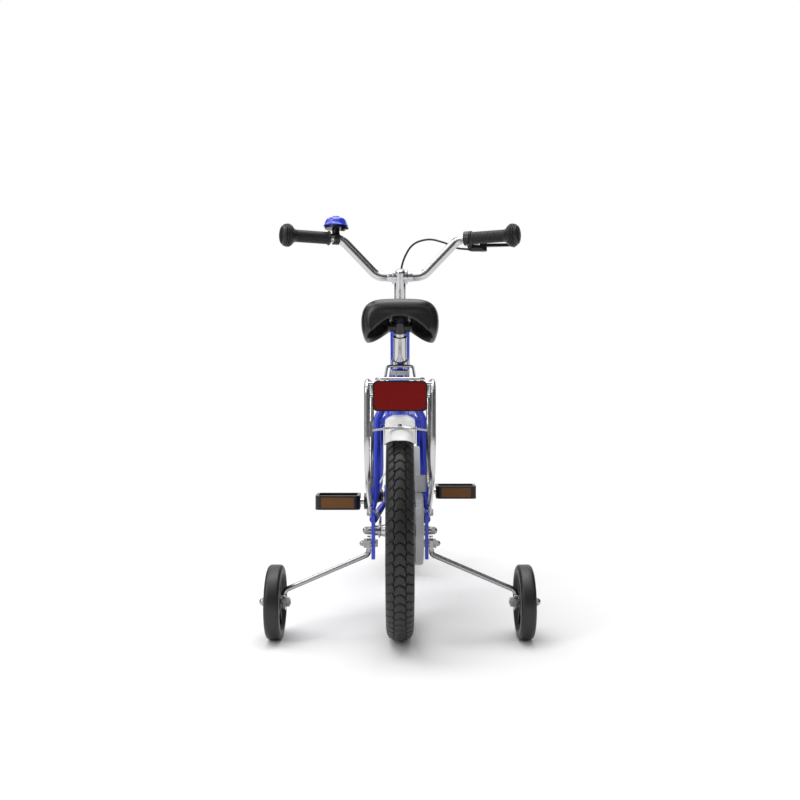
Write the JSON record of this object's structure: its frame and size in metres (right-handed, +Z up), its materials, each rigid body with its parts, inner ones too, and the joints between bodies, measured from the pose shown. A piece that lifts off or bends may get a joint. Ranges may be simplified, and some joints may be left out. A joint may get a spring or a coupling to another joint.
{
  "type": "children's bicycle with training wheels",
  "caption": "Small child's bicycle with chain drive, rear rack and reflector, mudguards, brake, bell and a pair of training wheels on sloping arms.",
  "frame": {"origin": "on the floor, midway along the bicycle and midway across it", "axes": "+Y forward, +X to the rider's right, where the chain is, +Z up"},
  "size_m": [0.5674, 1.132, 0.882],
  "materials": {
    "frame_paint": "gloss",
    "chrome": "polished",
    "zinc_steel": "satin",
    "rim_steel": "polished",
    "chain_steel": "oiled",
    "white_plastic": "gloss",
    "grey_plastic": "gloss",
    "black_plastic": "satin",
    "red_reflector": "prismatic",
    "amber_reflector": "prismatic",
    "black_paint": "satin",
    "tyre": "matte",
    "black_rubber": "matte",
    "bell_paint": "gloss",
    "saddle_cover": "satin",
    "training_wheel_plastic": "satin"
  },
  "bodies": {
    "frame": {"head_tube": "frame_paint", "main_tubes": "frame_paint", "seat_tube": "frame_paint", "bottom_bracket_shell": "frame_paint", "rear_stays": "frame_paint", "dropouts": "frame_paint", "seat_collar": "chrome", "bearing_cups": "chrome", "rear_mudguard": "white_plastic", "rack_sides": "chrome", "rack_deck": "chrome", "mudguard_stay": "chrome", "reflector_housing": "black_plastic", "reflector_lens": "red_reflector", "chain_case": "grey_plastic", "chain": "chain_steel", "rear_axle": "zinc_steel", "axle_nuts": "zinc_steel", "coaster_arm": "zinc_steel", "training_arms": "zinc_steel", "training_wheel_bolts": "zinc_steel"},
    "rack_clip": {"rack_clip": "chrome"},
    "crankset": {"crank_spindle": "chrome", "crank_arms": "black_paint", "chainring": "chain_steel", "pedal_spindles": "chrome"},
    "pedal_left": {"pedal_left": "black_plastic", "pedal_left_reflectors": "amber_reflector"},
    "pedal_right": {"pedal_right": "black_plastic", "pedal_right_reflectors": "amber_reflector"},
    "rear_wheel": {"rear_tyre": "tyre", "rear_rim": "rim_steel", "rear_spokes": "zinc_steel", "rear_hub": "rim_steel", "rear_sprocket": "chain_steel"},
    "front_wheel": {"front_tyre": "tyre", "front_rim": "rim_steel", "front_spokes": "zinc_steel", "front_hub": "rim_steel"},
    "steering": {"fork": "frame_paint", "stem": "chrome", "handlebar": "chrome", "grips": "black_rubber", "brake_lever_clamp": "black_plastic", "brake_cable": "black_plastic", "bell_base": "black_plastic", "bell_dome": "bell_paint", "front_mudguard": "white_plastic", "front_mudguard_stay": "chrome", "front_axle": "zinc_steel", "caliper_bolt": "chrome"},
    "brake_lever": {"brake_lever": "black_plastic"},
    "caliper_arm_left": {"caliper_arm_left": "black_paint"},
    "caliper_arm_right": {"caliper_arm_right": "black_paint"},
    "bell_lever": {"bell_lever": "black_plastic"},
    "seat": {"saddle": "saddle_cover", "seat_post": "chrome", "saddle_clamp": "black_paint"},
    "training_wheel_left": {"training_wheel_left": "training_wheel_plastic"},
    "training_wheel_right": {"training_wheel_right": "training_wheel_plastic"}
  },
  "joints": [
    {"name": "steering_turn", "type": "hinge", "parent": "frame", "child": "steering", "pos_m": [0, 0.19339, 0.53379], "axis": [0, -0.3746, 0.9272], "range_deg": [-60, 60]},
    {"name": "rear_wheel_spin", "type": "hinge", "parent": "frame", "child": "rear_wheel", "pos_m": [0, -0.361, 0.2], "axis": [-1, 0, 0], "continuous": true},
    {"name": "front_wheel_spin", "type": "hinge", "parent": "steering", "child": "front_wheel", "pos_m": [0, 0.366, 0.2], "axis": [-1, 0, 0], "continuous": true},
    {"name": "crank_spin", "type": "hinge", "parent": "frame", "child": "crankset", "pos_m": [0, -0.10002, 0.237], "axis": [-1, 0, 0], "continuous": true, "deforming": ["chain"]},
    {"name": "left_pedal_spin", "type": "hinge", "parent": "crankset", "child": "pedal_left", "pos_m": [-0.1, -0.20202, 0.237], "axis": [-1, 0, 0], "continuous": true},
    {"name": "right_pedal_spin", "type": "hinge", "parent": "crankset", "child": "pedal_right", "pos_m": [0.1, 0.00198, 0.237], "axis": [-1, 0, 0], "continuous": true},
    {"name": "brake_lever_pull", "type": "hinge", "parent": "steering", "child": "brake_lever", "pos_m": [0.19954, 0.11419, 0.8145], "axis": [0, 0, -1], "range_deg": [0, 12], "stiffness_Nm_per_rad": 1, "springref_deg": -17.19},
    {"name": "left_caliper_swing", "type": "hinge", "parent": "steering", "child": "caliper_arm_left", "pos_m": [0, 0.26495, 0.40739], "axis": [0, -0.9272, -0.3746], "range_deg": [0, 2]},
    {"name": "right_caliper_swing", "type": "hinge", "parent": "steering", "child": "caliper_arm_right", "pos_m": [0, 0.26495, 0.40739], "axis": [0, 0.9272, 0.3746], "range_deg": [0, 2]},
    {"name": "bell_lever_push", "type": "hinge", "parent": "steering", "child": "bell_lever", "pos_m": [-0.13542, 0.0911, 0.85], "axis": [0, 0, 1], "range_deg": [0, 25], "stiffness_Nm_per_rad": 0.02, "springref_deg": -17.19},
    {"name": "rack_clip_lift", "type": "hinge", "parent": "frame", "child": "rack_clip", "pos_m": [0, -0.323, 0.475], "axis": [-1, 0, 0], "range_deg": [0, 55], "stiffness_Nm_per_rad": 0.2, "springref_deg": -45.84},
    {"name": "seat_height", "type": "slide", "parent": "frame", "child": "seat", "axis": [0, -0.3907, 0.9205], "range_m": [-0.02, 0.06]},
    {"name": "left_training_wheel_spin", "type": "hinge", "parent": "frame", "child": "training_wheel_left", "pos_m": [-0.2316, -0.369, 0.0685], "axis": [-1, 0, 0], "continuous": true},
    {"name": "right_training_wheel_spin", "type": "hinge", "parent": "frame", "child": "training_wheel_right", "pos_m": [0.2316, -0.369, 0.0685], "axis": [-1, 0, 0], "continuous": true}
  ],
  "couplings": [
    {"joint": "crank_spin", "follows": "rear_wheel_spin", "ratio": 0.44444},
    {"joint": "left_caliper_swing", "follows": "brake_lever_pull", "ratio": 0.16},
    {"joint": "right_caliper_swing", "follows": "brake_lever_pull", "ratio": 0.16}
  ]
}
